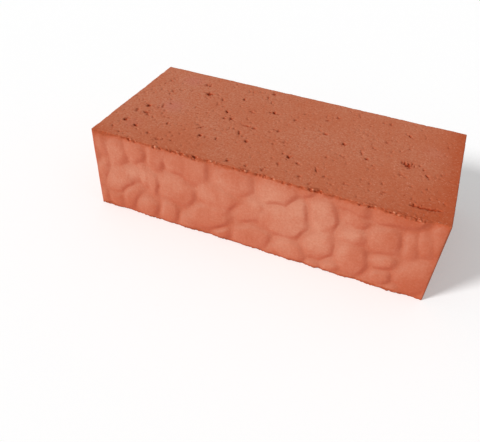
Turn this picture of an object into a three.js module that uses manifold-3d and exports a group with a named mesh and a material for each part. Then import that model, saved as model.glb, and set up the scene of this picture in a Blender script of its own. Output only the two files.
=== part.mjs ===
// A solid clay facing brick, cut from an extruded column of clay.
//
// The die gives the column its length and width, a roller presses cobbles into its face while
// the clay is soft, and two taut wires cut the flat beds. The back and both ends stay plain, as
// the die leaves them. Nothing pierces the brick: fired, it is one piece.
//
// Millimetres, +Z up. The origin is the middle of the lower bed, +X runs along the brick and
// the cobbled face looks along -Y, so the plain back looks along +Y.

import * as THREE from "three";
import { mergeVertices } from "three/addons/utils/BufferGeometryUtils.js";
import Module from "manifold-3d";

// Driving dimensions of the brick
const length = 250; // end to end
const width = 120; // the highest crowns of the cobbled face to the plain back
const height = 65; // lower bed to upper bed
const dieCorner = 1.5; // radius on the four upright arrises, from the corners of the die

// The roller's relief
const shoulderDepth = 0.8; // drop from a cobble's brow to its outline
const shoulderWidth = 4.4; // how far inside its outline a cobble starts to fall away
const shoulderShare = 0.75; // the most of a small cobble's mean radius that its shoulder takes
const crownBow = 0.35; // how much higher the middle of a cobble is than its brow
const crownSpread = 0.35; // how far the crowns differ in height
const creaseFloor = 1.6; // deepest that any crease goes below the highest crown
const crowding = 1.5; // how far each cobble is pressed out, into its neighbours
const squareness = 2.6; // 2 is an oval cobble, and a higher number is nearer a rectangle
const patternAcross = 250; // the pattern repeats at this distance along the roller
const patternDown = 65; // and at this distance around it

// How finely the cobbles are faceted, and how far a working body runs past the brick
const cobbleSides = 24;
const past = 10;

// The roller's pattern, one cobble to a line: its middle, across from the left edge and down
// from the upper edge, its half widths in those directions, and its turn in degrees, where
// positive is anticlockwise to someone who faces the brick. The last is a lobe of the cobble at
// 148.7, 32, which it runs into.
const cobbles = [
  { across: 5, down: 12, halfAcross: 7, halfDown: 9, turn: 0 },
  { across: 18.7, down: 13, halfAcross: 8, halfDown: 11, turn: 5 },
  { across: 34.9, down: 9.5, halfAcross: 8.3, halfDown: 9.5, turn: 12 },
  { across: 50.5, down: 10.3, halfAcross: 8, halfDown: 11, turn: -8 },
  { across: 66.3, down: 10.5, halfAcross: 8, halfDown: 9, turn: 0 },
  { across: 82.5, down: 12, halfAcross: 10.3, halfDown: 12, turn: 0 },
  { across: 109.5, down: 12, halfAcross: 17.5, halfDown: 10.5, turn: 0 },
  { across: 141, down: 8.9, halfAcross: 14.5, halfDown: 12, turn: 14 },
  { across: 159.3, down: 3, halfAcross: 6, halfDown: 6, turn: 0 },
  { across: 172.5, down: 17.4, halfAcross: 10.9, halfDown: 15, turn: -12 },
  { across: 190, down: 3, halfAcross: 10, halfDown: 6.5, turn: 0 },
  { across: 194.5, down: 15, halfAcross: 9.5, halfDown: 7, turn: 0 },
  { across: 219.7, down: 3.1, halfAcross: 18, halfDown: 9, turn: 14 },
  { across: 248.5, down: 13, halfAcross: 7.5, halfDown: 14, turn: 10 },
  { across: 5, down: 32, halfAcross: 6, halfDown: 13, turn: -14 },
  { across: 18.5, down: 38.8, halfAcross: 14, halfDown: 8, turn: 40 },
  { across: 31, down: 27.3, halfAcross: 8.5, halfDown: 6.5, turn: 20 },
  { across: 41, down: 28.5, halfAcross: 5, halfDown: 10.5, turn: 3 },
  { across: 47.3, down: 32.5, halfAcross: 5, halfDown: 13, turn: 8 },
  { across: 66.7, down: 33.3, halfAcross: 15, halfDown: 14.3, turn: 0 },
  { across: 95.3, down: 29.5, halfAcross: 14, halfDown: 9, turn: 0 },
  { across: 121.5, down: 33, halfAcross: 8.5, halfDown: 15.5, turn: -28 },
  { across: 148.7, down: 32, halfAcross: 16.5, halfDown: 13.8, turn: 6 },
  { across: 194.3, down: 28, halfAcross: 9, halfDown: 7, turn: 0 },
  { across: 214.7, down: 23.9, halfAcross: 11.7, halfDown: 12.3, turn: 5 },
  { across: 231.2, down: 22.7, halfAcross: 5, halfDown: 11.5, turn: 18 },
  { across: 241.6, down: 20, halfAcross: 6.3, halfDown: 10.5, turn: 14 },
  { across: 27.8, down: 51.2, halfAcross: 7.5, halfDown: 12.5, turn: -34 },
  { across: 14.6, down: 57.5, halfAcross: 7.5, halfDown: 8, turn: -20 },
  { across: 4, down: 57.5, halfAcross: 6, halfDown: 9, turn: 10 },
  { across: 41.3, down: 55.8, halfAcross: 10, halfDown: 10.5, turn: -10 },
  { across: 60.2, down: 54, halfAcross: 8.2, halfDown: 12.8, turn: -3 },
  { across: 75.3, down: 59, halfAcross: 8, halfDown: 9, turn: -10 },
  { across: 92.7, down: 47.8, halfAcross: 15.8, halfDown: 11.8, turn: 25 },
  { across: 103.5, down: 58.8, halfAcross: 10.5, halfDown: 5.8, turn: 38 },
  { across: 125.3, down: 54.7, halfAcross: 15.5, halfDown: 11.3, turn: 18 },
  { across: 151.6, down: 56.8, halfAcross: 13, halfDown: 10.8, turn: 0 },
  { across: 172.3, down: 45.4, halfAcross: 12.2, halfDown: 12.8, turn: 0 },
  { across: 172.5, down: 63.5, halfAcross: 6, halfDown: 5.5, turn: 0 },
  { across: 184.8, down: 61.5, halfAcross: 7, halfDown: 8, turn: 0 },
  { across: 197.3, down: 47.8, halfAcross: 11.3, halfDown: 15.5, turn: 3 },
  { across: 218.5, down: 41.8, halfAcross: 9.5, halfDown: 6.5, turn: 22 },
  { across: 219, down: 57.7, halfAcross: 8.5, halfDown: 9, turn: 6 },
  { across: 241.7, down: 47.6, halfAcross: 12.5, halfDown: 17, turn: -22 },
  { across: 155, down: 22.5, halfAcross: 8.6, halfDown: 12.5, turn: -8 },
];

const wasm = await Module();
wasm.setup();

// A closed geometry, moved by a matrix, as a solid that can be joined and cut.
function solidOf(geometry, matrix = new THREE.Matrix4()) {
  geometry.deleteAttribute("normal");
  geometry.deleteAttribute("uv");
  const merged = mergeVertices(geometry.applyMatrix4(matrix), 1e-4);
  return new wasm.Manifold(
    new wasm.Mesh({
      numProp: 3,
      vertProperties: new Float32Array(merged.attributes.position.array),
      triVerts: new Uint32Array(merged.index.array),
    }),
  );
}

// The solid's faces as flat-shaded three.js triangles.
function geometryOf(solid) {
  const { vertProperties, triVerts } = solid.getMesh();
  const geometry = new THREE.BufferGeometry();
  geometry.setAttribute("position", new THREE.BufferAttribute(vertProperties, 3));
  geometry.setIndex(new THREE.BufferAttribute(triVerts, 1));
  const faceted = geometry.toNonIndexed();
  faceted.computeVertexNormals();
  return faceted;
}

// The column as the die leaves it: the brick's outline from above, as long as a brick is high.
function dieColumn() {
  const outline = new THREE.Shape();
  const right = length / 2;
  const back = width / 2;
  outline.moveTo(-right + dieCorner, -back);
  outline.lineTo(right - dieCorner, -back);
  outline.absarc(right - dieCorner, -back + dieCorner, dieCorner, -Math.PI / 2, 0);
  outline.absarc(right - dieCorner, back - dieCorner, dieCorner, 0, Math.PI / 2);
  outline.absarc(-right + dieCorner, back - dieCorner, dieCorner, Math.PI / 2, Math.PI);
  outline.absarc(-right + dieCorner, -back + dieCorner, dieCorner, Math.PI, Math.PI * 1.5);
  return solidOf(
    new THREE.ExtrudeGeometry(outline, { depth: height, bevelEnabled: false, curveSegments: 3 }),
  );
}

// How far a cobble has dropped below its middle at a distance past its outline, in millimetres.
// The distance is negative inside. The brow is where the shoulder starts.
function cobbleDrop(pastOutline, brow) {
  const fall = Math.max(0, 1 + pastOutline / brow);
  return crownBow + shoulderDepth * fall * fall;
}

// One cobble as a dome that looks along -Y, with its crown at the origin. It is turned round
// with a mean radius of one, squared off, and scaled to its half widths.
function cobbleDome(halfAcross, halfDown) {
  const meanRadius = Math.sqrt(halfAcross * halfDown);
  const brow = Math.min(shoulderWidth, meanRadius * shoulderShare);
  const skirt = brow * (Math.sqrt((creaseFloor - crownBow) / shoulderDepth) - 1);
  const rings = [-brow, -brow * 0.5, 0, skirt];
  const radiusAt = (pastOutline) => 1 + pastOutline / meanRadius;
  const profile = [
    new THREE.Vector2(0, 0),
    ...rings.map((ring) => new THREE.Vector2(radiusAt(ring), cobbleDrop(ring, brow))),
    new THREE.Vector2(radiusAt(skirt), creaseFloor + past),
    new THREE.Vector2(0, creaseFloor + past),
  ];
  const dome = new THREE.LatheGeometry(profile, cobbleSides);
  const points = dome.attributes.position;
  for (let i = 0; i < points.count; i += 1) {
    const [x, z] = [points.getX(i), points.getZ(i)];
    const norm = (Math.abs(x) ** squareness + Math.abs(z) ** squareness) ** (1 / squareness);
    const outward = norm > 0 ? Math.hypot(x, z) / norm : 1;
    points.setXYZ(i, x * outward * halfAcross, points.getY(i), z * outward * halfDown);
  }
  return dome;
}

// The crowns differ in height by a fixed rule, spread evenly over the pattern.
function crownHeight(index) {
  const goldenShare = 0.618034;
  return crownSpread * ((index * goldenShare) % 1);
}

// The clay under the roller: a slab whose front is the cobbled face, in the brick's own place,
// that runs past the brick on every other side.
function rolledClay() {
  const back = width / 2 + past;
  const front = -width / 2;
  const behindCreases = new THREE.BoxGeometry(
    length + 2 * past,
    back - front - creaseFloor,
    height + 2 * past,
  );
  behindCreases.translate(0, (back + front + creaseFloor) / 2, height / 2);
  const solids = [solidOf(behindCreases)];
  cobbles.forEach((cobble, index) => {
    const halfAcross = cobble.halfAcross + crowding;
    const halfDown = cobble.halfDown + crowding;
    const reach = Math.hypot(halfAcross, halfDown); // no corner of it is further out
    const firstAcross = wrapped(cobble.across + reach, patternAcross) - reach;
    const firstDown = wrapped(cobble.down + reach, patternDown) - reach;
    for (let across = firstAcross; across < length + reach; across += patternAcross) {
      for (let down = firstDown; down < height + reach; down += patternDown) {
        const place = new THREE.Matrix4()
          .makeTranslation(across - length / 2, front + crownHeight(index), height - down)
          .multiply(new THREE.Matrix4().makeRotationY(-THREE.MathUtils.degToRad(cobble.turn)));
        solids.push(solidOf(cobbleDome(halfAcross, halfDown), place));
      }
    }
  });
  return wasm.Manifold.union(solids);
}

// A value brought into the range from 0 up to, but not including, the period.
function wrapped(value, period) {
  return ((value % period) + period) % period;
}

// The brick is what the die, the roller and the two wires leave of the clay.
function brickSolid() {
  return dieColumn().intersect(rolledClay());
}

const firedClay = new THREE.MeshStandardMaterial({
  color: new THREE.Color("#c96f52"),
  roughness: 0.92,
  metalness: 0,
});

const brick = new THREE.Mesh(geometryOf(brickSolid()), firedClay);
brick.name = "brick";

const group = new THREE.Group();
group.name = "clay_facing_brick";
group.add(brick);

export default group;
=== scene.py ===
import math

import bpy
import numpy as np
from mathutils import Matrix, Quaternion, Vector


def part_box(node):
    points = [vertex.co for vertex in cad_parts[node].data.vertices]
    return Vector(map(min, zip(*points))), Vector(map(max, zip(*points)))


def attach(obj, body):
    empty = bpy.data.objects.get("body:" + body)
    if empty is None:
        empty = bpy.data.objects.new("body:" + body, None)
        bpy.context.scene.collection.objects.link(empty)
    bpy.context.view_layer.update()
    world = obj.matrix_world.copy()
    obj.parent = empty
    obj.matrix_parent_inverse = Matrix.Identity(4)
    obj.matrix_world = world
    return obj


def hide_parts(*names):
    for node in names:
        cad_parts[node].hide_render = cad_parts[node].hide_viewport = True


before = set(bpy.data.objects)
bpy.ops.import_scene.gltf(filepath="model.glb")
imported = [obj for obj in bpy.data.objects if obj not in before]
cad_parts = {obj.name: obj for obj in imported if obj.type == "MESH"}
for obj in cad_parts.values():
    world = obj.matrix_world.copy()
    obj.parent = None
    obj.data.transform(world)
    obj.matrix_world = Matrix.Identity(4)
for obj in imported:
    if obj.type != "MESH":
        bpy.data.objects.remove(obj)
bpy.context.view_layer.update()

# A solid clay facing brick: extruded, rolled with cobbles on its face, wire-cut and fired.
# The relief is worked out in millimetres and becomes metres when the mesh is made.

mm = 0.001
low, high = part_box("brick")
brickLength = (high.x - low.x) / mm
brickWidth = (high.y - low.y) / mm
brickHeight = (high.z - low.z) / mm
print(f"brick {brickLength:.1f} x {brickWidth:.1f} x {brickHeight:.1f} mm")


# Eases a share between 0 and 1 at both ends.
def smooth(share):
    return share * share * (3 - 2 * share)


# Smooth noise between about -1 and 1, with hills of that size in mm. Each next layer is finer
# and half as high.
def hills(u, v, size, seed, layers=1):
    cells, seedStep, finer, stretch = 256, 101, 2.1, 1.6
    total = np.zeros(np.broadcast(u, v).shape)
    weight, reach = 1.0, 0.0
    for layer in range(layers):
        table = np.random.default_rng(seed + layer * seedStep).uniform(-1, 1, (cells, cells))
        gu, gv = np.broadcast_arrays(u / size, v / size)
        iu, iv = np.floor(gu).astype(int), np.floor(gv).astype(int)
        fu, fv = smooth(gu - iu), smooth(gv - iv)
        nextU, nextV = (iu + 1) % cells, (iv + 1) % cells
        iu, iv = iu % cells, iv % cells
        near = table[iu, iv] * (1 - fu) + table[nextU, iv] * fu
        far = table[iu, nextV] * (1 - fu) + table[nextU, nextV] * fu
        total += weight * (near * (1 - fv) + far * fv)
        reach += weight
        size, weight = size / finer, weight * 0.5
    return total / reach * stretch


# 1 at a surface, falling gently to 0 at reach.
def fade(distance, reach):
    return np.clip(1 - distance / reach, 0, 1) ** 2


# An offset to the nearest repeat of a pattern.
def wrapped(offset, period):
    return (offset + period / 2) % period - period / 2


# How much a list of round spots (across, down, reach, amount) adds up to at each point.
def spotted(across, down, spots, periodAcross=1e6, periodDown=1e6):
    total = np.zeros(across.shape)
    for spotAcross, spotDown, reach, amount in spots:
        offAcross = wrapped(across - spotAcross, periodAcross)
        offDown = wrapped(down - spotDown, periodDown)
        total += amount * np.exp(-(offAcross ** 2 + offDown ** 2) / reach ** 2)
    return total


# The roller that presses the cobbles into the face
roller = {
    "across": 250,           # the pattern repeats at this distance
    "down": 65,
    "bow": 0.65,             # the middle of a cobble over its brow
    "shoulder": 0.57,        # drop from a cobble's brow to a crease
    "shoulderWidth": 4.4,    # how far from a crease a cobble starts to fall away
    "spread": 0.35,          # how far the crowns differ in height
    "squareness": 2.4,       # 2 is an oval cobble
    "crowding": 0.45,        # how far past its oval a cobble is pressed against the next
    "wander": 0.9,           # how far the outlines wander off their ovals
    "tilt": 0.022,           # how much single crowns lean
    "lumps": 0.06,           # gentle unevenness of the pressed clay
    "crownBlend": 1.2,       # how softly two crowns run into each other
    "softness": 0.6,         # how softly two shoulders meet
    "pressure": 0.75,        # how strongly a crease is pressed where no accent is
    "uneven": 0.3,           # how much that wanders
    "creaseReach": 3.1,      # how far from its middle a crease is darker
    "runOut": 0.75,          # how far the relief has died away at the upright arrises
    "runOutReach": 6,
    "edgeDepth": 0.6,        # how deep the face lies there
    "leanStep": 0.7,         # how far apart the two places are that tell how the face leans
}

# Distances on the face are measured across from its left end, and down from its upper arris.
# The cobbles: across, down, half across, half down, turn
cobbles = [
    (5, 12, 7, 9, 0), (19, 13.6, 7.8, 11.8, 4), (34.9, 9.5, 8.3, 9.5, 12), (50.5, 10.3, 8, 11, -8),
    (66.3, 10.5, 8, 9, 0), (82.5, 12, 10.3, 12, 0), (109.5, 12, 16.3, 10.5, 0),
    (141, 8.9, 14.5, 12, 14), (160.2, 2.6, 5.3, 5.3, 0), (172.9, 18, 10.5, 15, 11),
    (191, 3, 11, 8.2, 0), (194.5, 15.5, 9.5, 6.5, 0), (220.5, 3.1, 18.3, 9, 14),
    (248.5, 13, 7.5, 14, 10), (5, 32, 6, 13, -14), (18.5, 38.8, 14, 8, 48),
    (31, 27.8, 8.8, 7, 20), (41, 28, 4.6, 10, 10), (47.1, 32.8, 4.7, 12.6, 13),
    (67, 33, 15.3, 13.9, 0), (96, 28.9, 13.6, 9, 5), (122.5, 31.7, 7.8, 15, -36),
    (149.2, 31.8, 17, 13.8, 4), (194.3, 28, 9, 7, 0), (215.3, 24.5, 11.8, 12.6, 18),
    (231.8, 22.7, 4.8, 11.5, 20), (241.6, 20, 6.3, 10.5, 14), (27.8, 51.2, 7.5, 12.5, -34),
    (14.6, 57.5, 7.5, 8, -20), (4, 57.5, 6, 9, 10), (41.3, 55.8, 10, 10.5, -10),
    (60.2, 54, 8.2, 12.8, -3), (75.3, 59, 8, 9, -10), (92.7, 47.8, 15.8, 11.8, 25),
    (103.5, 58.8, 9, 5.8, 38), (125.3, 54.7, 15.5, 11.3, 18), (152.3, 57, 13.3, 10.8, -8),
    (173.4, 45.4, 11.8, 12.8, 0), (172.5, 63.5, 6, 5.5, 0), (184.8, 61.5, 7, 8, 0),
    (197.3, 47.8, 11.3, 15.5, 3), (218.5, 41.8, 9.5, 6.5, 30), (219, 57.7, 8.5, 9, 6),
    (241.7, 47.6, 12.5, 17, -30),
]
# A lobe that one of the cobbles, the one with this number, has besides
lobes = {22: (156.6, 23.6, 8.9, 14.2, 10)}

# Where a crease is deeper than the rest, or shallower: across, down, reach, share
creaseAccents = [
    (91.5, 11, 8, 0.8), (42, 9, 7, 0.4), (57.5, 16, 4, 0.8), (68, 18, 4, 0.3), (53, 35, 8, 0.5),
    (51, 54, 8, 0.6), (67.5, 54, 7, 0.6), (82, 37, 7, 0.5), (102, 54, 5, 0.6), (159, 7, 6, -0.5),
    (111, 34, 6, 0.4), (139.5, 52, 8, 0.6), (155, 12, 5, 0.3), (165, 25, 8, 0.5), (184, 20, 9, 1),
    (181, 10, 6, 0.6), (184.5, 43, 8, 0.5), (180, 53, 6, 0.4), (203, 17, 4, 0.5),
    (208, 40, 4, 0.9), (209.5, 53, 6, 0.7), (226, 22, 7, 0.5), (227, 38, 5, 0.8),
    (227.5, 57, 6, 0.8), (238, 6, 6, 0.8), (27, 43, 5, 0.1), (98, 22, 9, -0.7),
    (22, 31, 6, -0.7), (195, 33, 7, -0.8), (194, 21.5, 6, -0.5), (174, 32, 7, -0.5),
    (94, 35, 10, -0.45), (45, 29, 8, -0.7), (237, 20, 7, -0.5), (82, 55, 7, -0.5),
    (12, 54, 6, -0.2), (58, 6, 7, -0.7), (73, 11, 7, -0.7), (121, 43, 6, -0.2),
    (11, 10, 5, -0.2), (195, 8, 6, -0.5), (90, 23, 5, -0.2), (5, 45, 5, -0.3),
    (26, 12, 7, -0.7), (110, 21, 9, -0.7), (131, 32, 9, -0.6), (35, 19, 6, -0.35),
    (163, 33, 6, 0.6), (160, 41, 5, 0.5), (227, 52, 5, 0.4), (10, 33, 5, -0.3),
    (31, 57, 6, -0.35), (119, 17, 6, -0.4), (202, 27, 6, -0.5), (187, 27, 6, -0.2),
    (103, 34, 9, -0.4), (128, 32, 6, -0.4), (52, 20, 6, -0.3), (226, 26, 4, 0.6),
    (50, 33, 6, -0.35), (29, 37, 5, -0.3), (101, 40, 6, -0.4), (132, 20, 4, -0.2),
    (49, 14, 5, -0.2),
]

# Paler places on the rolled face, and redder ones: across, down, reach, amount. Besides paler and
# redder clay, they hold painted light on whole cobbles that tilt towards the key light, and the wide
# one near the right end is painted shade where the key light falls off.
palePatchesAndPaintedLight = [
    (16, 11, 8, 1.4), (30, 27, 6, 0.7), (14, 40, 8, 0.8), (41, 27, 6, 0.8), (60, 25, 9, 0.2),
    (88, 27, 7, 0.4), (94, 40, 7, 0.1), (104, 13, 8, 0.2), (125, 23, 5, 0.9), (135, 10, 9, 0.8),
    (148, 24, 9, 1.2), (137, 22, 7, 1.1), (129, 33, 6, 0.5), (160, 33, 6, 0.6),
    (31, 36, 6, 0.8), (155, 17, 6, 1.1), (169, 10, 7, 1.0), (172, 21, 9, 0.8),
    (170, 37, 9, 1.1), (178, 45, 8, 0.4), (193, 26, 8, 1.0), (190, 42, 7, 0.6), (148, 50, 8, 0.8),
    (123, 47, 6, 0.3), (218, 40, 7, 0.8), (232, 46, 7, 0.7), (241, 35, 7, 0.7), (183, 58, 5, 0.7),
    (73, 57, 6, 0.1), (42, 48, 6, 0.5), (78, 48, 5, 0.3), (208, 17, 7, 0.4), (190, 12, 6, 0.5),
    (12, 3, 12, -1.2), (225, 6, 12, -0.7), (245, 5, 9, -0.6), (30, 61, 12, -0.5),
    (92, 60, 12, -0.7), (15, 57, 9, -0.6), (48, 60, 7, -0.4), (122, 34, 5, -0.3),
    (113, 27, 5, -0.4), (246, 52, 12, -0.7), (240, 60, 10, -0.4), (203, 42, 7, -0.3),
    (126, 57, 8, -0.3), (66, 10, 8, -0.3), (248, 25, 9, -0.4),
    (228, 34, 34, -0.45), (113, 52, 9, -0.6), (64, 40, 9, -0.4), (86, 37, 8, -0.3),
    (66, 54, 10, -0.4), (156, 38, 5, 0.8), (30, 9, 8, -0.3), (108, 7, 8, -0.3),
    (102, 55, 5, -0.9), (186, 24, 6, 0.5), (100, 14, 5, 0.5),
]

# Places where the face is redder besides, like a rim, and less so: across, down, reach, amount
faceRimAndShadeSpots = [
    (9, 0, 8, 0.5), (10, 54, 14, 0.3), (14, 10, 10, -0.35), (148, 20, 16, -0.1),
    (245, 2, 9, -0.35),
]

# Paler and redder places on the upper bed: from the left end, from the back, reach, amount
bedPatches = [
    (20, 30, 45, 0.7), (34, 62, 10, 0.6), (32, 17, 12, 0.5), (12, 60, 14, 0.3), (45, 52, 12, 0.3),
    (62, 100, 12, -0.6), (100, 20, 14, 0.3), (120, 52, 20, 0.3), (150, 62, 18, 0.5),
    (128, 12, 10, -0.4), (165, 30, 12, 0.3), (190, 40, 14, 0.2), (205, 85, 14, -0.3),
    (232, 20, 16, -0.25), (240, 100, 20, -0.5), (170, 110, 20, -0.4), (120, 108, 16, 0.3),
    (70, 70, 14, 0.3), (75, 40, 10, 0.3), (178, 75, 12, 0.2), (38, 90, 10, 0.5), (8, 12, 10, 0.5),
]

# Smooth pinkish places on it, and stained ones, given in the same way
bedPinks = [(35, 62, 8, 0.9), (31, 16, 8, 0.8), (22, 98, 6, 0.4), (231, 40, 9, 0.3)]
bedStains = [(215, 62, 4.5, 0.6), (24, 81, 4, 0.25), (78, 102, 6, 0.15), (52, 30, 3, 0.2)]


# How far points are past a cobble's outline, in mm, and at what share of its half width.
def pastOutline(across, down, oval):
    middleAcross, middleDown, halfAcross, halfDown, turn = oval
    angle = math.radians(turn)
    u = wrapped(across - middleAcross, roller["across"])
    v = -wrapped(down - middleDown, roller["down"])
    alongHalf = np.abs(u * math.cos(angle) + v * math.sin(angle)) / halfAcross
    acrossHalf = np.abs(-u * math.sin(angle) + v * math.cos(angle)) / halfDown
    power = roller["squareness"]
    rho = (alongHalf ** power + acrossHalf ** power) ** (1 / power)
    return (rho - 1) * math.sqrt(halfAcross * halfDown), rho


# How deep a cobble's crown lies without its bow. Every crown has a height and a lean of its own,
# which follow from its number.
def crownDepth(across, down, index):
    goldenShare = 0.618034
    tiltAcross = roller["tilt"] * math.sin(index * 2.4)
    tiltDown = roller["tilt"] * math.cos(index * 4.1)
    middleAcross, middleDown = cobbles[index][:2]
    depth = roller["spread"] * (index * goldenShare % 1)
    depth = depth + tiltAcross * wrapped(across - middleAcross, roller["across"])
    return depth + tiltDown * wrapped(down - middleDown, roller["down"])


# How deep the rolled surface lies below the highest crown, and how much of a crease it is, for the
# painted shade in the creases.
def rolledDepth(across, down):
    wanderedAcross = across + roller["wander"] * hills(across, down, 10, 11, 2)
    wanderedDown = down + roller["wander"] * hills(across, down, 10, 23, 2)
    accent = spotted(across, down, creaseAccents, roller["across"], roller["down"])
    strength = roller["pressure"] + accent + roller["uneven"] * hills(across, down, 15, 47)
    strength = np.clip(strength, 0.15, 1.9)
    bow = roller["bow"] * np.clip(0.25 + strength, 0.3, 1)
    nearest = np.full(across.shape, 99.0)
    second = np.full(across.shape, 99.0)
    pillow = np.zeros(across.shape)
    weights = np.zeros(across.shape)
    for index, cobble in enumerate(cobbles):
        outside, rho = pastOutline(wanderedAcross, wanderedDown, cobble)
        if index in lobes:
            lobeOutside, lobeRho = pastOutline(wanderedAcross, wanderedDown, lobes[index])
            outside, rho = np.minimum(outside, lobeOutside), np.minimum(rho, lobeRho)
        weight = np.exp(-np.clip(outside, -40, 40) / roller["crownBlend"])
        weights += weight
        crown = crownDepth(across, down, index)
        pillow += weight * (crown + bow * np.minimum(rho, 1.3) ** 2)
        second = np.minimum(second, np.maximum(nearest, outside))
        nearest = np.minimum(nearest, outside)
    # A cobble falls away towards its neighbour, and towards the end of its own oval
    toNeighbour, toOwnEnd = (second - nearest) / 2, roller["crowding"] - nearest
    edge = np.exp(-np.clip(toNeighbour, -9, 20) / roller["softness"])
    edge = edge + np.exp(-np.clip(toOwnEnd, -9, 20) / roller["softness"])
    edge = -roller["softness"] * np.log(edge)
    fall = 0.5 + 0.5 * np.cos(np.pi * np.clip(edge / roller["shoulderWidth"], 0, 1))
    depth = pillow / weights + roller["shoulder"] * strength * fall
    depth = depth + roller["lumps"] * hills(across, down, 5, 37, 2)
    # How much painted shade a crease gets, from its middle outwards
    crease = smooth(np.clip((roller["creaseReach"] - edge) / 2.5, 0, 1))
    return depth, np.clip(strength / 2, 0, 1) * crease


# The wire-cut beds
bed = {
    "unevenness": 0.12,
    "grain": 0.07,
    "pitShare": 0.65,         # how deep the pits are, as a share of the depths below
    "pitEdge": 0.45,          # how ragged their outlines are
    "pitSteepness": 2.5,
    "stainReach": 2.4,        # how far a stain spreads round a pit, in pits
    "pitCount": 480,          # small pits torn by grit under the wire
    "pitSize": (0.35, 0.95),
    "pitStretch": (0.85, 1.6),
    "pitTurn": (-10, 45),
    "pitDepth": (0.15, 0.6),
    "dragCount": 60,          # short drag marks along the cut
    "dragLength": (1.5, 5),
    "dragWidth": (0.25, 0.45),
    "dragTurn": 9,
    "dragDepth": (0.1, 0.3),
}

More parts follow.
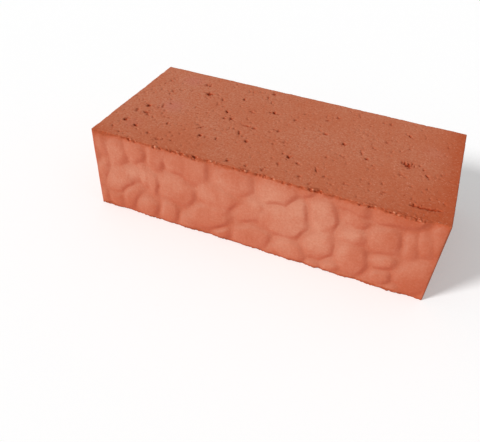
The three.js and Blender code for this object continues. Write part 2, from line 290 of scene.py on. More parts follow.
# Pits that stand out: from the left end, from the back, half length, half width, turn, depth
tornPits = [
    (43.6, 17.6, 1.5, 1.6, 12, 1), (46.4, 17.3, 1, 1.4, 12, 0.8), (51.9, 31.2, 1.7, 2.3, 18, 1.7),
    (48.6, 30, 1, 1, 0, 0.7), (79.9, 25.8, 0.9, 1.9, 15, 1.5), (75.8, 51, 0.9, 1.9, 25, 1.6),
    (82.6, 59.5, 1.3, 1.7, 15, 1.1), (77.8, 61.2, 1, 1.4, 10, 0.9),
    (23.7, 39.6, 1.3, 1.8, 20, 0.7), (23.5, 44.6, 1, 1.5, 20, 0.5), (13.6, 23.8, 1, 1.7, 15, 0.6),
    (65, 34.7, 0.8, 2.4, 20, 0.7), (64.5, 43.6, 0.9, 1.8, 20, 0.5), (81.8, 10.9, 0.6, 2, 20, 0.6),
    (18.8, 69.9, 1.7, 1.6, 10, 1.6), (14.3, 79.3, 1.2, 2.2, 20, 0.7), (22.3, 80, 2, 1.5, 0, 1),
    (24.7, 82.2, 1, 1.6, 20, 0.7), (28.7, 65.4, 0.8, 1.7, 20, 0.7), (32.1, 59, 0.8, 1.2, 15, 0.8),
    (26.7, 69.4, 1, 1, 0, 0.5), (33.7, 76.3, 0.8, 1.4, 20, 0.5), (37.6, 79.8, 0.8, 1, 0, 0.5),
    (14.4, 95.6, 1.2, 1.7, 25, 1.5), (25.2, 100.3, 1.1, 1.7, 30, 1.5),
    (68.2, 81.7, 0.9, 1.5, 15, 1.3), (72.4, 91.6, 0.9, 1.9, 20, 1.5),
    (76.4, 92.2, 0.7, 0.9, 0, 0.6), (84.3, 90.7, 0.8, 2, 10, 0.8), (84.3, 77.3, 0.7, 1.2, 0, 0.5),
    (44.3, 88.2, 1, 1.4, 15, 0.8), (51.9, 97.1, 0.8, 1.2, 10, 0.6), (55.5, 101.1, 0.8, 1, 0, 0.6),
    (38.1, 105.5, 0.8, 1.6, 25, 0.8), (48.1, 110, 1.5, 1.3, -20, 0.9),
    (57.5, 107, 0.9, 1, 0, 0.7), (11, 108, 0.7, 2, 25, 0.7), (19.3, 113, 1.2, 0.9, 0, 0.8),
    (98.6, 6.9, 1.2, 1.5, 0, 1.3), (96.2, 14.9, 0.6, 3, 15, 0.7),
    (101.4, 21.8, 0.5, 2.3, 15, 0.7), (109, 36.2, 1.2, 1.7, 8, 1.6),
    (106.2, 36.7, 0.9, 0.9, 0, 0.9), (112.1, 36.9, 1.4, 0.8, 0, 0.9),
    (126.8, 40.2, 1, 1.4, 0, 1.1), (92.3, 42.2, 1, 1.5, 20, 0.7),
    (93.4, 43, 2.4, 0.8, -20, 0.8), (120.5, 60.4, 1, 1.6, 0, 1),
    (116.9, 59.7, 0.7, 0.9, 0, 0.6), (96.2, 64.4, 2.8, 0.8, 0, 1),
    (102.8, 65.2, 1.3, 1.2, 0, 1.1), (90.3, 72.1, 0.6, 1.1, 15, 0.8),
    (96, 75.8, 0.8, 3.2, 22, 1), (100.2, 79.3, 1, 0.8, 0, 0.6), (104.7, 84.2, 0.8, 2.4, 28, 1),
    (138.6, 90.2, 1.2, 1.8, 10, 1.6), (133.4, 87.7, 0.7, 1.5, 10, 0.8),
    (145.5, 94.8, 0.8, 1.2, 0, 1), (134.5, 102.1, 0.7, 2.3, 25, 0.7),
    (155.6, 20.8, 1.1, 1.4, 0, 0.9), (149.2, 28.7, 0.9, 1.3, 0, 0.8),
    (152.9, 49, 1.2, 1.2, 0, 1.1), (168.6, 56, 1.2, 1.8, 25, 1.5),
    (159.8, 97.1, 0.6, 2.8, 20, 1.1), (160.4, 102.1, 0.5, 1.4, 20, 0.6),
    (166.8, 101.6, 0.7, 0.8, 0, 0.8), (151.9, 108.5, 1.3, 0.9, 0, 0.9),
    (102.4, 113, 1, 1.1, 0, 1.3), (115.9, 113, 0.8, 1.7, 10, 0.9), (127.3, 113, 0.9, 1.6, 0, 0.8),
    (123.1, 79.3, 0.7, 1.2, 0, 0.6), (129.5, 73.3, 0.8, 1.5, 10, 0.6),
    (161.8, 78.3, 0.7, 1.2, 10, 0.5), (170.7, 10.9, 0.6, 1.6, 15, 0.7),
    (189.6, 12.4, 0.7, 1.2, 0, 0.7), (194.6, 11.9, 0.8, 1.6, 5, 0.9),
    (211, 23.3, 1.0, 1.5, 30, 1.7), (212.7, 24.8, 0.9, 1.1, 20, 0.8),
    (196.8, 40.2, 0.8, 1.4, 5, 1), (213.4, 41.6, 0.8, 1.2, 0, 0.7),
    (187.1, 46.6, 0.6, 1.4, 5, 0.7), (188.9, 52, 0.6, 1.4, 5, 0.8),
    (215.7, 63.4, 1.3, 2.8, 5, 1.7), (212.7, 61.4, 0.8, 2.2, 0, 1.2),
    (210.9, 61.4, 0.5, 2, 0, 0.9), (217.8, 60.4, 0.5, 2.6, -8, 1), (214.2, 64.9, 1, 1, 0, 1.2),
    (219.6, 62.4, 0.4, 1.6, 0, 0.8), (223, 60.4, 0.6, 1.4, 10, 0.6),
    (187.6, 68.4, 1, 1.1, 0, 1.3), (193, 74.3, 0.7, 1, 0, 0.8), (229.1, 70.9, 0.9, 2.3, 40, 1.6),
    (226, 64.4, 0.8, 1.4, 15, 0.8), (212.5, 76.7, 1.3, 0.9, 10, 0.55),
    (215.4, 78.6, 1, 0.7, 0, 0.5), (231.3, 86.2, 0.6, 1.6, 0, 0.8), (181.2, 104, 2.2, 0.7, 5, 0.6),
    (171.5, 102.1, 0.7, 0.7, 0, 0.7), (206.4, 101.3, 1.4, 0.8, 0, 0.6),
    (205.1, 104, 0.6, 1, 0, 0.5), (182.7, 61.9, 0.6, 2.4, 22, 0.8),
    (195.6, 96.1, 0.6, 1.4, 10, 0.6), (239.3, 26.7, 0.7, 1.2, 0, 0.6),
    (238.3, 65.4, 0.7, 1.2, 0, 0.5), (215.2, 62.9, 2.0, 1.9, 10, 1.1),
    (225.6, 107.3, 2.2, 1.1, 0, 2.3), (228.6, 107.3, 2.8, 1.0, 3, 2.4),
    (231.8, 107, 2.8, 1.0, 4, 2.4), (235, 106.7, 2.8, 1.1, 4, 2.4),
    (238, 106.2, 2.6, 1.1, 6, 2.4), (240.6, 105.7, 1.7, 0.9, 10, 1.9),
]


# The deepest of a list of ragged pits at each point, and the stain around them.
def pitField(x, y, pits, seed):
    ragged = hills(x, y, 1.1, seed, 2)
    depth, stain = np.zeros(x.shape), np.zeros(x.shape)
    order = np.argsort(x)
    sortedX = x[order]
    for pitX, pitY, halfLength, halfWidth, turn, deep in pits:
        reach = 2.8 * max(halfLength, halfWidth)
        first, last = np.searchsorted(sortedX, [pitX - reach, pitX + reach])
        near = order[first:last]
        near = near[np.abs(y[near] - pitY) < reach]
        angle = math.radians(-turn)
        u, v = x[near] - pitX, y[near] - pitY
        along = (u * math.cos(angle) + v * math.sin(angle)) / halfLength
        aside = (-u * math.sin(angle) + v * math.cos(angle)) / halfWidth
        rho = np.hypot(along, aside) * (0.9 + bed["pitEdge"] * ragged[near])
        pit = deep * np.clip(1.15 - rho ** bed["pitSteepness"], 0, 1)
        depth[near] = np.maximum(depth[near], pit)
        stained = min(deep, 1.2) * np.clip(1 - rho / bed["stainReach"], 0, 1)
        stain[near] = np.maximum(stain[near], stained)
    return depth, stain


# Depth below the wire's cut, how much of it is torn, and how much it is stained.
def bedRelief(x, y, seed, pits):
    rng = np.random.default_rng(seed)
    small = []
    for _ in range(bed["pitCount"]):
        place = rng.uniform(1, brickLength - 1), rng.uniform(1, brickWidth - 1)
        size = rng.uniform(*bed["pitSize"], 2) * bed["pitStretch"]
        turn, deep = rng.uniform(*bed["pitTurn"]), rng.uniform(*bed["pitDepth"])
        small.append((*place, *size, turn, deep))
    drags = []
    for _ in range(bed["dragCount"]):
        place = rng.uniform(3, brickLength - 3), rng.uniform(1, brickWidth - 1)
        half, halfWide = rng.uniform(*bed["dragLength"]) / 2, rng.uniform(*bed["dragWidth"])
        turn, deep = rng.normal(0, bed["dragTurn"]), rng.uniform(*bed["dragDepth"])
        drags.append((*place, half, halfWide, turn, deep))
    torn, stain = pitField(x, y, pits, seed + 5)
    torn = torn * (1 + 0.2 * hills(x, y, 0.9, seed + 7))
    torn = np.maximum(torn, pitField(x, y, small, seed + 9)[0])
    scraped = pitField(x, y, drags, seed + 13)[0]
    uneven = bed["unevenness"] * (1 + hills(x, y, 26, seed + 17, 2)) / 2
    grain = bed["grain"] * (1 + hills(x, y, 1.9, seed + 19, 2)) / 2
    return uneven + grain + bed["pitShare"] * np.maximum(torn, scraped), torn, stain


# Torn and crumbly wire-cut arrises
arris = {
    "radius": 0.5,            # the wire leaves a sharp arris
    "radiusWander": 0.25,
    "dieRadius": 1.5,         # upright arrises, from the die
    "frontBand": 1.7,         # how far down the face the wire has torn its skin away
    "otherBand": 0.8,
    "bandWander": 0.45,
    "bandSoftness": 1.2,
    "tearReach": 2.4,         # how far a tear runs from the arris
    "tearDepth": 0.7,
    "crumbHeight": 0.45,
    "wearInward": 0.7,        # how much of a tear eats into the side
    "wearOver": 0.6,          # and how much of it into the bed
    "inward": 9,              # how far inside the brick a side's relief has faded away
    "plainRelief": 0.1,       # of the back and the ends
}

# Along the upper front arris: where it is torn, over what half length, and how deep
frontTears = [
    (26, 2.0, 0.7), (29.5, 2.2, 1.2), (34, 2.4, 0.9), (41, 1.6, 0.6), (49.5, 1.5, 1.2),
    (55, 1.3, 0.9), (62, 2.6, 1.0), (66, 2.0, 0.9), (70, 2.8, 1.2), (76, 1.4, 0.8), (81, 2.2, 2.0),
    (90, 1.6, 0.8), (95, 1.8, 0.9), (98, 1.5, 1.0), (103, 2.4, 0.7), (109, 2.0, 0.6),
    (115.5, 1.7, 1.3), (119.5, 1.2, 1.0), (127, 2.4, 0.9), (131, 1.3, 1.2), (136, 1.6, 0.8),
    (143, 2.0, 0.7), (148, 2.2, 0.8), (156, 1.6, 0.8), (162, 1.6, 1.2), (166, 1.5, 1.0),
    (168.5, 1.6, 1.3), (176, 1.8, 0.6), (184, 1.8, 0.6), (195, 1.8, 1.1), (201.5, 2.2, 1.3),
    (208, 1.4, 0.8), (213, 2.6, 1.0), (219, 2.4, 1.1), (225.5, 3.4, 1.3), (231, 2.4, 1.2),
    (235, 1.2, 0.7),
]
# Crumbs of clay that the wire left on it: where, half size, and height
frontCrumbs = [
    (31.5, 1.0, 0.6), (36, 0.8, 0.5), (51.6, 1.3, 1.1), (68, 1.0, 0.6), (74, 0.8, 0.5),
    (93, 1.0, 0.7), (118, 1.2, 1.1), (138, 0.9, 0.6), (164, 0.9, 0.6), (204, 0.8, 0.5),
    (215.5, 0.9, 0.6),
]


# How far an arris is eaten away. Beside it is a signed distance, over the bed when positive.
def arrisTears(along, beside, seed, share, tears=()):
    closeness = fade(np.abs(beside), arris["tearReach"])
    broken = hills(along + 0.5 * beside, beside * 0.8, 1.3, seed, 2)
    where = np.clip(0.5 + 0.7 * hills(along, 0 * along, 12, seed + 3, 2), 0, 1)
    depth = closeness * share * arris["tearDepth"] * where * np.clip(broken + 0.25, 0, 1)
    for place, half, deep in tears:
        stretch = np.clip(1.1 - ((along - place) / half) ** 4, 0, 1)
        spread = np.clip(1.2 - ((beside + 0.5) / (0.9 + 0.7 * deep)) ** 2, 0, 1)
        bite = deep * np.clip(0.3 + 0.25 * deep + 1.1 * broken, 0, 1.1)
        depth = np.maximum(depth, stretch * spread * bite)
    raised = np.clip(hills(along, beside, 1.1, seed + 7, 2) - 0.2, 0, 1)
    return depth - closeness * share * arris["crumbHeight"] * raised


# The lattice of points that the brick's surface is made of
lattice = {
    "fine": 0.32,            # spacing near an arris
    "fineReach": 3.2,
    "coarse": 0.58,          # spacing elsewhere
    "triangles": 192000,     # what is left after thinning
}


def spacing(size):
    fineReach = lattice["fineReach"]
    fineSteps = round(fineReach / lattice["fine"])
    coarseSteps = round((size - 2 * fineReach) / lattice["coarse"])
    start = np.linspace(0, fineReach, fineSteps + 1)
    middle = np.linspace(fineReach, size - fineReach, coarseSteps + 1)
    return np.concatenate([start[:-1], middle[:-1], size - start[::-1]])


# The outer points of a box of points, and the four-sided faces between them.
def boxLattice():
    xs = spacing(brickLength) - brickLength / 2
    ys = spacing(brickWidth) - brickWidth / 2
    zs = spacing(brickHeight)
    nx, ny, nz = len(xs), len(ys), len(zs)
    onSurface = np.zeros((nx, ny, nz), bool)
    onSurface[[0, -1]] = True
    onSurface[:, [0, -1]] = True
    onSurface[:, :, [0, -1]] = True
    number = np.full((nx, ny, nz), -1)
    number[onSurface] = np.arange(onSurface.sum())
    i, j, k = np.nonzero(onSurface)
    points = np.stack([xs[i], ys[j], zs[k]], axis=1)
    faces = []
    for sheet, outward in [
        (number[0], False), (number[-1], True),
        (number[:, 0], True), (number[:, -1], False),
        (number[:, :, 0], False), (number[:, :, -1], True),
    ]:
        quads = np.stack([sheet[:-1, :-1], sheet[1:, :-1], sheet[1:, 1:], sheet[:-1, 1:]], axis=-1)
        quads = quads.reshape(-1, 4)
        faces.append(quads if outward else quads[:, ::-1])
    return points, np.concatenate(faces)


# Moves a square corner's points, measured inward from both sides, onto a round one.
def roundCorner(a, b, radius):
    fromA, fromB = np.clip(radius - a, 0, None), np.clip(radius - b, 0, None)
    inCorner = (fromA > 0) & (fromB > 0)
    largest = np.maximum(fromA, fromB)
    share = np.where(inCorner, largest / np.maximum(np.hypot(fromA, fromB), 1e-9), 1)
    a = np.where(inCorner, radius - fromA * share, a)
    b = np.where(inCorner, radius - fromB * share, b)
    return a, b


# What is known about each point of the lattice: its place, how far inside each side it lies,
# and which part of the brick it is on.
def survey(points):
    x, y, z = points.T.copy()
    at = {
        "x": x,
        "y": y,
        "z": z,
        "left": x + brickLength / 2,
        "right": brickLength / 2 - x,
        "front": y + brickWidth / 2,
        "back": brickWidth / 2 - y,
        "under": z.copy(),
        "over": brickHeight - z,
    }
    toEnd = np.minimum(at["left"], at["right"])
    toFlank = np.minimum(at["front"], at["back"])
    side = np.minimum(toEnd, toFlank)
    at["upper"] = at["over"] < at["under"]
    bedDistance = np.where(at["upper"], at["over"], at["under"])
    at["onBed"] = bedDistance < side
    at["onFace"] = at["front"] < 1e-6
    at["lengthwise"] = toFlank < toEnd
    at["nearFront"] = at["front"] < at["back"]
    at["beside"] = np.where(at["onBed"], side, -bedDistance)
    return at


# The rolled face: its depth, how much of a crease it is, and how much it leans towards the key light,
# which sets the painted light and painted shade on its flanks.
def rollFace(at):
    print("rolling the face")
    depth, crease = rolledDepth(at["left"], at["over"])
    reach = roller["runOutReach"]
    runsOut = roller["runOut"] * (fade(at["left"], reach) + fade(at["right"], reach))
    depth = depth + (roller["edgeDepth"] - depth) * runsOut
    # How far the face leans towards the key light, used only for its painted light and shade
    onFace, step = at["onFace"], roller["leanStep"]
    across, down = at["left"][onFace], at["over"][onFace]
    lean = np.zeros(len(depth))
    leftAbove, _ = rolledDepth(across - step, down - step)
    rightBelow, _ = rolledDepth(across + step, down + step)
    lean[onFace] = (leftAbove - rightBelow) / 2
    return depth, np.where(onFace, crease, 0), lean


# The depths of both beds, how torn they are and how stained.
def cutBeds(at):
    print("cutting the beds")
    upperDepth, upperTorn, upperStain = bedRelief(at["left"], at["back"], 71, tornPits)
    lowerPits = [
        (brickLength - pitX, brickWidth - pitY, halfLength, halfWidth, -turn, deep * 0.8)
        for pitX, pitY, halfLength, halfWidth, turn, deep in tornPits[::2]
    ]
    lowerDepth, lowerTorn, lowerStain = bedRelief(at["left"], at["back"], 171, lowerPits)
    upperStain = upperStain + spotted(at["left"], at["back"], bedStains)
    torn = np.where(at["upper"], upperTorn, lowerTorn)
    stain = np.where(at["upper"], upperStain, lowerStain)
    return upperDepth, lowerDepth, torn, stain


# How far the arrises are eaten away, how high crumbs stand on them, and how near a tear it is.
def tearArrises(at):
    print("tearing the arrises")
    left, front, beside = at["left"], at["front"], at["beside"]
    upper, lengthwise, nearFront = at["upper"], at["lengthwise"], at["nearFront"]
    tear = np.zeros(len(left))
    for chosen, place, seed, share, tears in [
        (upper & lengthwise & nearFront, left, 201, 1.0, frontTears),
        (upper & lengthwise & ~nearFront, left, 211, 0.3, ()),
        (~upper & lengthwise & nearFront, left, 221, 1.0, ()),
        (~upper & lengthwise & ~nearFront, left, 231, 0.45, ()),
        (upper & ~lengthwise, front, 241, 0.3, ()),
        (~upper & ~lengthwise, front, 251, 0.5, ()),
    ]:
        tear[chosen] = arrisTears(place[chosen], beside[chosen], seed, share, tears)
    crumb = np.zeros(len(left))
    for place, half, tall in frontCrumbs:
        gap = np.sqrt((left - place) ** 2 + front ** 2 + at["over"] ** 2) / half
        crumb = np.maximum(crumb, tall * np.clip(1.2 - gap ** 2, 0, 1))
    halo = np.zeros(len(left))
    for place, half, deep in frontTears:
        halo += max(deep - 0.5, 0.1) * np.exp(-((left - place) / (1.5 * half + 0.8)) ** 2)
    halo = np.where(upper, np.clip(halo, 0, 1), 0.3)
    grains = np.clip(hills(left, beside, 1.1, 77, 2) - 0.3, 0, 1) * halo
    grains = grains * fade(np.abs(beside + 1), 4) * nearFront * lengthwise
    return tear, np.maximum(crumb, 0.8 * grains), halo


# Redder, darker colour towards the rims of the beds, of the rolled face and of the plain sides: the
# side it starts from, its reach and its amount. On the face the long reach from the right end is
# painted shade where the key light falls off, and the rims along the lower arris are painted shadow
# there.
bedRims = [
    ("front", 8, 0.25), ("right", 26, 1.1), ("left", 5, 0.2), ("back", 3, 0.15), ("front", 40, 0.12),
    ("right", 60, 0.15),
]
faceRimsAndShade = [
    ("over", 6, 0.8), ("under", 5, 0.8), ("left", 5, 0.4), ("right", 6, 0.4), ("over", 24, 0.45),
    ("right", 60, 0.4), ("under", 30, 0.15),
]
plainRims = [("over", 5, 0.5), ("under", 5, 0.5), ("front", 9, 0.7)]
bedRimSpots = [(8, 0, 14, 0.4), (228, 0, 30, 0.6)]

# Where the torn band below the arris is wider, and where it is narrower
bandSpots = [(9, 0, 7, 2), (21, 0, 6, -1.3), (147, 0, 9, -0.3), (246, 0, 7, -1.2)]


def rimmed(at, rims):
    return sum(amount * fade(at[side], reach) for side, reach, amount in rims)


# How red and dark each point is as part of a rim, and how pale it is as part of a patch; on the face
# both carry painted light and shade as well as the clay's own colour.
def rimsAndPatches(at):
    left, over, onFace, onBed = at["left"], at["over"], at["onFace"], at["onBed"]
    bedRim = rimmed(at, bedRims) + spotted(left, at["front"], bedRimSpots)
    faceRim = rimmed(at, faceRimsAndShade) + spotted(left, over, faceRimAndShadeSpots)
    rim = np.where(onBed, bedRim, np.where(onFace, faceRim, rimmed(at, plainRims)))
    cloudy = 0.5 * hills(at["x"] + at["y"], at["z"], 14, 61, 2)
    pale = np.where(onFace, spotted(left, over, palePatchesAndPaintedLight), cloudy)
    pale = np.where(onBed & at["upper"], spotted(left, at["back"], bedPatches), pale)
    return rim, pale


# Where the cut clay shows, over the bed and in a band below it, and how ragged the skin is there.
def tornBand(at, halo):
    x, y, z, beside = at["x"], at["y"], at["z"], at["beside"]
    band = np.where(at["nearFront"], arris["frontBand"], arris["otherBand"])
    band = band * (1 + arris["bandWander"] * hills(x, y, 5, 67, 2))
    band = band + spotted(at["left"], at["front"], bandSpots)
    bedShare = np.clip(0.5 + (beside + band) / arris["bandSoftness"], 0, 1)
    streaks = np.clip(0.6 + 0.9 * hills(x + 0.6 * (y + z), 0.3 * (y - z), 0.9, 69, 2), 0, 1.3)
    fringe = 1.4 + 0.7 * hills(x, 0 * z, 2.5, 73, 2)
    onFringe = np.where(beside > 0, 1.2 - beside / (1.0 + 3 * halo), (fringe + beside) / 0.6)
    ragged = 1.3 * halo * np.clip(onFringe, 0, 1) * streaks
    ragged = ragged + 0.9 * bedShare * np.clip(0.6 - beside / 1.6, 0, 1)
    return bedShare, np.clip(ragged, 0, 1) * at["nearFront"] * at["lengthwise"]


# The places of points, from how far inside the sides they lie.
def fromSides(points, sides):
    halfLength, halfWidth = brickLength / 2, brickWidth / 2
    x = np.where(points[:, 0] < 0, sides["left"] - halfLength, halfLength - sides["right"])
    y = np.where(points[:, 1] < 0, sides["front"] - halfWidth, halfWidth - sides["back"])
    z = np.where(points[:, 2] < brickHeight / 2, sides["under"], brickHeight - sides["over"])
    return x, y, z


# Rounds the die's upright arrises and then the wire's, which are sharper.
def roundArrises(points, at):
    sides = {name: at[name] for name in ("left", "right", "front", "back", "under", "over")}
    for end, flank in [("left", "front"), ("right", "front"), ("left", "back"), ("right", "back")]:
        sides[end], sides[flank] = roundCorner(sides[end], sides[flank], arris["dieRadius"])
    x, y, _ = fromSides(points, sides)
    wireRadius = arris["radius"] + arris["radiusWander"] * hills(x, y, 6, 91, 2)
    for cut in ("over", "under"):
        for upright in ("front", "back", "left", "right"):
            sides[cut], sides[upright] = roundCorner(sides[cut], sides[upright], wireRadius)
    return sides


# The lattice's points where the clay is, and what the colours need to know about each point.
def shapeBrick(points):
    at = survey(points)
    faceDepth, crease, lean = rollFace(at)
    upperDepth, lowerDepth, torn, stain = cutBeds(at)
    tear, crumb, halo = tearArrises(at)
    rim, pale = rimsAndPatches(at)
    bedShare, ragged = tornBand(at, halo)
    pink = np.clip(spotted(at["left"], at["back"], bedPinks), 0, 1)
    marks = {
        "bedShare": bedShare,
        "crease": crease,
        "lean": np.clip(0.5 + lean / 0.6, 0, 1),
        "torn": np.clip(torn / 1.5, 0, 1),
        "stain": np.clip(stain, 0, 1),
        "ragged": ragged,
        "arrisTorn": np.clip(tear / 0.8, 0, 1),
        "crumb": np.clip(crumb / 0.6, 0, 1),
        "rim": np.clip(rim, 0, 1),
        "pink": pink * (at["onBed"] & at["upper"]),
        "pale": np.clip(0.5 + 0.5 * pale, 0, 1),
    }

    # Every side's own depth, fading inwards so that the lattice never folds
    sides = roundArrises(points, at)
    x, y, z = fromSides(points, sides)
    reach = arris["inward"]
    endDepth = arris["plainRelief"] * (1 + hills(at["y"], at["z"] * 0.2, 12, 53, 2))
    backDepth = arris["plainRelief"] * (1 + hills(at["x"], at["z"] * 0.2, 12, 51, 2))
    x = x + fade(sides["left"], reach) * endDepth - fade(sides["right"], reach) * endDepth
    y = y + fade(sides["front"], reach) * faceDepth - fade(sides["back"], reach) * backDepth
    z = z - fade(sides["over"], reach / 2) * upperDepth
    z = z + fade(sides["under"], reach / 2) * lowerDepth

    # What is eaten away along the arrises, and the crumbs that stand on them
    eaten = tear - crumb
    inwardX = np.where(points[:, 0] < 0, 1, -1)
    inwardY = np.where(points[:, 1] < 0, 1, -1)
    x = x + arris["wearInward"] * eaten * np.where(at["lengthwise"], 0, inwardX)
    y = y + arris["wearInward"] * eaten * np.where(at["lengthwise"], inwardY, 0)
    z = z + arris["wearOver"] * eaten * np.where(at["upper"], -1, 1)
    return np.stack([x, y, np.maximum(z, 0)], axis=1), marks


def buildBrick():
    print("laying out the lattice")
    points, faces = boxLattice()
    shaped, marks = shapeBrick(points)
    mesh = bpy.data.meshes.new("brick_fired")
    mesh.from_pydata((shaped * mm).tolist(), [], faces.tolist())
    for name, values in marks.items():
        attribute = mesh.attributes.new(name, "FLOAT", "POINT")
        attribute.data.foreach_set("value", values.astype(np.float32))
    piece = bpy.data.objects.new("brick_fired", mesh)
    bpy.context.scene.collection.objects.link(piece)
    print(f"thinning {2 * len(faces)} triangles")
    thin = piece.modifiers.new("thin", "DECIMATE")
    thin.ratio = lattice["triangles"] / (2 * len(faces))
    bpy.context.view_layer.objects.active = piece
    bpy.ops.object.modifier_apply(modifier="thin")
    piece.data.polygons.foreach_set("use_smooth", [True] * len(piece.data.polygons))
    piece.data.update()
    print(f"{len(piece.data.polygons)} faces left")
    return piece


# Fired clay, as albedos
clay = {
    "skin": (0.500, 0.155, 0.088),
    # pale and red clay; the pale colour also paints light on tilted cobbles and the red one paints
    # shade towards the right end
    "skinPaleAndLit": (0.550, 0.218, 0.136),
    "skinRedAndShaded": (0.450, 0.112, 0.056),
    # painted light on cobble flanks that face the key light, and painted shade on those that face away
    "skinPaintedLit": (0.445, 0.163, 0.100),   # flanks of cobbles that face up and to the left
    "skinPaintedShade": (0.505, 0.115, 0.060),   # and those that face down and to the right
    # painted shade in the creases, tinted redder
    "skinCreaseShade": (0.385, 0.088, 0.042),
    # redder clay towards the rims, painted shade at the face's right end and lower arris, and dark
    # grains
    "skinRimAndShade": (0.410, 0.080, 0.030),
    "bed": (0.530, 0.170, 0.087),
    "bedPale": (0.548, 0.214, 0.126),
    "bedRed": (0.470, 0.114, 0.050),
    "bedPink": (0.530, 0.165, 0.120),
    "dust": (0.680, 0.280, 0.185),
    "bedRim": (0.440, 0.082, 0.027),
    "stain": (0.400, 0.090, 0.040),
    # pits: partly burnt clay, partly painted shade in their hollows; also the bed's dark specks
    "pit": (0.270, 0.028, 0.004),
    # bites torn from the arris: partly darker clay, partly painted shade in the notches
    "bite": (0.280, 0.036, 0.008),
    "arris": (0.320, 0.066, 0.026),       # where the wire has torn the skin from an arris
    "crumb": (0.600, 0.215, 0.120),
    "roughness": 0.92,
    "specular": 0.12,
    "graininess": 0.6,
    "grainHeight": 0.00022,               # metres
}


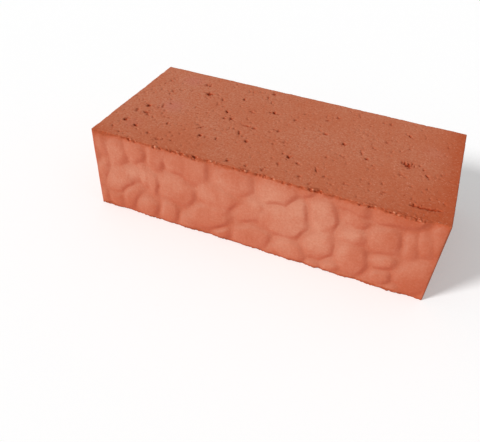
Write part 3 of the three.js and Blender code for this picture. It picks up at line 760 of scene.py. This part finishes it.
def makeClay():
    material = bpy.data.materials.new("fired_clay")
    material.use_nodes = True
    nodes, links = material.node_tree.nodes, material.node_tree.links
    shader = nodes["Principled BSDF"]
    shader.inputs["Roughness"].default_value = clay["roughness"]
    shader.inputs["Specular IOR Level"].default_value = clay["specular"]
    place = nodes.new("ShaderNodeTexCoord").outputs["Object"]

    def noise(scale, detail=3, stretch=(1, 1, 1), roughness=0.5):
        mapping = nodes.new("ShaderNodeMapping")
        mapping.inputs["Scale"].default_value = stretch
        links.new(place, mapping.inputs["Vector"])
        texture = nodes.new("ShaderNodeTexNoise")
        texture.inputs["Scale"].default_value = scale
        texture.inputs["Detail"].default_value = detail
        texture.inputs["Roughness"].default_value = roughness
        links.new(mapping.outputs["Vector"], texture.inputs["Vector"])
        return texture.outputs["Fac"]

    def mark(name):
        attribute = nodes.new("ShaderNodeAttribute")
        attribute.attribute_name = name
        return attribute.outputs["Fac"]

    def between(value, lowEnd, highEnd, toLow=0.0, toHigh=1.0):
        ramp = nodes.new("ShaderNodeMapRange")
        ramp.inputs["From Min"].default_value = lowEnd
        ramp.inputs["From Max"].default_value = highEnd
        ramp.inputs["To Min"].default_value = toLow
        ramp.inputs["To Max"].default_value = toHigh
        links.new(value, ramp.inputs["Value"])
        return ramp.outputs["Result"]

    def worked(a, b, how="ADD"):
        maths = nodes.new("ShaderNodeMath")
        maths.operation = how
        for socket, value in zip(maths.inputs, (a, b)):
            if isinstance(value, (int, float)):
                socket.default_value = value
            else:
                links.new(value, socket)
        return maths.outputs["Value"]

    def mixed(share, first, second):
        mix = nodes.new("ShaderNodeMix")
        mix.data_type = "RGBA"
        links.new(share, mix.inputs["Factor"])
        for socket, value in ((mix.inputs[6], first), (mix.inputs[7], second)):
            if isinstance(value, tuple):
                socket.default_value = (*value, 1)
            else:
                links.new(value, socket)
        return mix.outputs[2]

    # The rolled skin: pale and red places, partly painted light and shade; painted light and shade on
    # the cobbles' flanks; painted shade in the creases; redder clay and painted shade towards the
    # rims; faint upright streaks
    cloudy = between(noise(70, 4), 0.3, 0.7, -0.22, 0.22)
    streaky = between(noise(420, 3, (1, 1, 0.1)), 0.3, 0.7, -0.07, 0.07)
    flecked = between(noise(520, 3), 0.3, 0.7, -0.13, 0.13)
    paleness = worked(worked(mark("pale"), cloudy), worked(streaky, flecked))
    # Paler and redder clay, with painted light on cobbles tilted towards the key and painted shade at
    # the right end
    skin = mixed(between(paleness, 0.5, 1), clay["skin"], clay["skinPaleAndLit"])
    skin = mixed(between(paleness, 0.5, 0), skin, clay["skinRedAndShaded"])
    # Painted light on flanks that face up and to the left, towards the key, and painted shade on
    # flanks that face away
    skin = mixed(between(mark("lean"), 0.5, 1, 0, 0.9), skin, clay["skinPaintedLit"])
    skin = mixed(between(mark("lean"), 0.5, 0, 0, 0.9), skin, clay["skinPaintedShade"])
    # Painted shade in the creases, tinted redder
    skin = mixed(between(mark("crease"), 0, 1, 0, 0.5), skin, clay["skinCreaseShade"])
    grainy = noise(850, 3)
    skin = mixed(between(grainy, 0.5, 0.75, 0, 0.16), skin, clay["dust"])
    skin = mixed(between(grainy, 0.5, 0.25, 0, 0.2), skin, clay["skinRimAndShade"])
    # Redder and darker towards the rims: on the face, painted shade where the key light falls off at
    # the right end and painted shadow along the lower arris
    brokenRimAndShade = worked(mark("rim"), between(noise(500, 4), 0.3, 0.7, 0.5, 1.3), "MULTIPLY")
    skin = mixed(between(brokenRimAndShade, 0.05, 1, 0, 0.85), skin, clay["skinRimAndShade"])

    # The wire-cut bed: sandy, with specks and dark pits, and redder towards its rims
    patchy = between(noise(40, 4), 0.3, 0.7, -0.25, 0.25)
    sandy = between(noise(620, 4, (1, 1, 1), 0.65), 0.32, 0.62)
    bedPaleness = worked(mark("pale"), patchy)
    cut = mixed(between(bedPaleness, 0.3, 1), clay["bed"], clay["bedPale"])
    cut = mixed(worked(sandy, between(bedPaleness, 0, 0.6, 0.6, 0.9), "MULTIPLY"), clay["bedRed"], cut)
    cut = mixed(worked(mark("pink"), 0.6, "MULTIPLY"), cut, clay["bedPink"])
    cut = mixed(between(brokenRimAndShade, 0.0, 1, 0, 0.9), cut, clay["bedRim"])
    speckled = between(noise(520, 2), 0.66, 0.74)
    cut = mixed(worked(speckled, 0.5, "MULTIPLY"), cut, clay["pit"])
    dusted = between(noise(760, 2), 0.62, 0.74)
    cut = mixed(worked(dusted, 0.6, "MULTIPLY"), cut, clay["dust"])

    ragged = worked(worked(noise(700, 3), 0.5, "SUBTRACT"), 1.2, "MULTIPLY")
    ragged = worked(mark("bedShare"), ragged)
    color = mixed(between(ragged, 0.4, 0.6), skin, cut)
    color = mixed(worked(mark("stain"), 0.5, "MULTIPLY"), color, clay["stain"])
    # Pits: partly burnt clay, partly painted shade in their hollows
    color = mixed(between(mark("torn"), 0.08, 0.85, 0, 0.95), color, clay["pit"])
    fringed = worked(mark("ragged"), between(noise(800, 3), 0.35, 0.65, 0.55, 1.25), "MULTIPLY")
    color = mixed(between(fringed, 0.1, 0.9, 0, 0.9), color, clay["arris"])
    # Bites torn from the arris: partly darker clay, partly painted shade in the notches
    bitten = worked(mark("arrisTorn"), between(noise(900, 2), 0.4, 0.6, 0.4, 1.2), "MULTIPLY")
    color = mixed(between(bitten, 0.2, 0.9, 0, 0.85), color, clay["bite"])
    color = mixed(worked(mark("crumb"), 0.9, "MULTIPLY"), color, clay["crumb"])
    links.new(color, shader.inputs["Base Color"])

    # Grain under the finger: sandy on the bed, finer and combed on the skin
    grainy = noise(1400, 4, (1, 1, 1), 0.65)
    combed = noise(900, 3, (1, 1, 0.06))
    grainy = worked(grainy, between(mark("bedShare"), 0, 1, 0.3, 1.0), "MULTIPLY")
    combed = worked(combed, between(mark("bedShare"), 0, 1, 0.2, 0.0), "MULTIPLY")
    bump = nodes.new("ShaderNodeBump")
    bump.inputs["Strength"].default_value = clay["graininess"]
    bump.inputs["Distance"].default_value = clay["grainHeight"]
    links.new(worked(grainy, combed), bump.inputs["Height"])
    links.new(bump.outputs["Normal"], shader.inputs["Normal"])
    return material


# The studio: the camera stands right of the middle and looks down and to the left.
studio = {
    "lens": 38.59,
    "cameraPlace": (0.0880, -0.3222, 0.2556),
    "azimuth": 19.08,
    "elevation": 42.41,
    "roll": 4.15,
    "shift": (-0.0120, 0.0496),
    "keyFrom": (-0.62, -0.62, 0.50),
    "keyStrength": 3.3,
    "keyAngle": 14,
    "worldStrength": 0.42,
    "floorColor": (0.82, 0.82, 0.82),
    "floorGlow": 0.22,
}


def makeCamera():
    data = bpy.data.cameras.new("camera")
    data.lens = studio["lens"]
    data.sensor_width = 36
    data.shift_x, data.shift_y = studio["shift"]
    data.clip_start = 0.01
    camera = bpy.data.objects.new("camera", data)
    bpy.context.scene.collection.objects.link(camera)
    azimuth, elevation = math.radians(studio["azimuth"]), math.radians(studio["elevation"])
    level = math.cos(elevation)
    forward = Vector((-math.sin(azimuth) * level, math.cos(azimuth) * level, -math.sin(elevation)))
    roll = Quaternion((0, 0, 1), math.radians(studio["roll"]))
    camera.location = studio["cameraPlace"]
    camera.rotation_mode = "QUATERNION"
    camera.rotation_quaternion = forward.to_track_quat("-Z", "Y") @ roll
    bpy.context.scene.camera = camera


# 1 for the rays that show the background: seen, mirrored or through something clear.
def seenRays(nodes, links):
    rays = nodes.new("ShaderNodeLightPath")
    seen = rays.outputs["Is Camera Ray"]
    for kind in ("Is Glossy Ray", "Is Transmission Ray"):
        either = nodes.new("ShaderNodeMath")
        either.operation = "MAXIMUM"
        links.new(seen, either.inputs[0])
        links.new(rays.outputs[kind], either.inputs[1])
        seen = either.outputs["Value"]
    return seen


def makeLights():
    data = bpy.data.lights.new("key", "SUN")
    data.energy = studio["keyStrength"]
    data.angle = math.radians(studio["keyAngle"])
    key = bpy.data.objects.new("key", data)
    key.rotation_mode = "QUATERNION"
    key.rotation_quaternion = Vector(studio["keyFrom"]).to_track_quat("Z", "Y")
    bpy.context.scene.collection.objects.link(key)

    world = bpy.data.worlds.new("studio")
    bpy.context.scene.world = world
    world.use_nodes = True
    nodes, links = world.node_tree.nodes, world.node_tree.links
    lighting = nodes["Background"]
    lighting.inputs["Color"].default_value = (1, 1, 1, 1)
    lighting.inputs["Strength"].default_value = studio["worldStrength"]
    seen = nodes.new("ShaderNodeBackground")
    seen.inputs["Color"].default_value = (1, 1, 1, 1)
    seen.inputs["Strength"].default_value = 1
    mix = nodes.new("ShaderNodeMixShader")
    links.new(seenRays(nodes, links), mix.inputs["Fac"])
    links.new(lighting.outputs["Background"], mix.inputs[1])
    links.new(seen.outputs["Background"], mix.inputs[2])
    links.new(mix.outputs["Shader"], nodes["World Output"].inputs["Surface"])


def makeFloor():
    bpy.ops.mesh.primitive_plane_add(size=8, location=(0, 0, 0))
    floor = bpy.context.object
    floor.name = "floor"
    material = bpy.data.materials.new("floor")
    material.use_nodes = True
    nodes, links = material.node_tree.nodes, material.node_tree.links
    shader = nodes["Principled BSDF"]
    shader.inputs["Base Color"].default_value = (*studio["floorColor"], 1)
    shader.inputs["Roughness"].default_value = 0.9
    shader.inputs["Specular IOR Level"].default_value = 0.1
    glow = nodes.new("ShaderNodeEmission")
    glow.inputs["Strength"].default_value = studio["floorGlow"]
    both = nodes.new("ShaderNodeAddShader")
    mix = nodes.new("ShaderNodeMixShader")
    links.new(shader.outputs["BSDF"], both.inputs[0])
    links.new(glow.outputs["Emission"], both.inputs[1])
    links.new(seenRays(nodes, links), mix.inputs["Fac"])
    links.new(shader.outputs["BSDF"], mix.inputs[1])
    links.new(both.outputs["Shader"], mix.inputs[2])
    links.new(mix.outputs["Shader"], nodes["Material Output"].inputs["Surface"])
    floor.data.materials.append(material)


brick = buildBrick()
brick.data.materials.append(makeClay())
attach(brick, "root")
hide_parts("brick")
print("brick done")

makeFloor()
makeLights()
makeCamera()
bpy.context.scene.view_settings.view_transform = "Standard"
print("studio done")
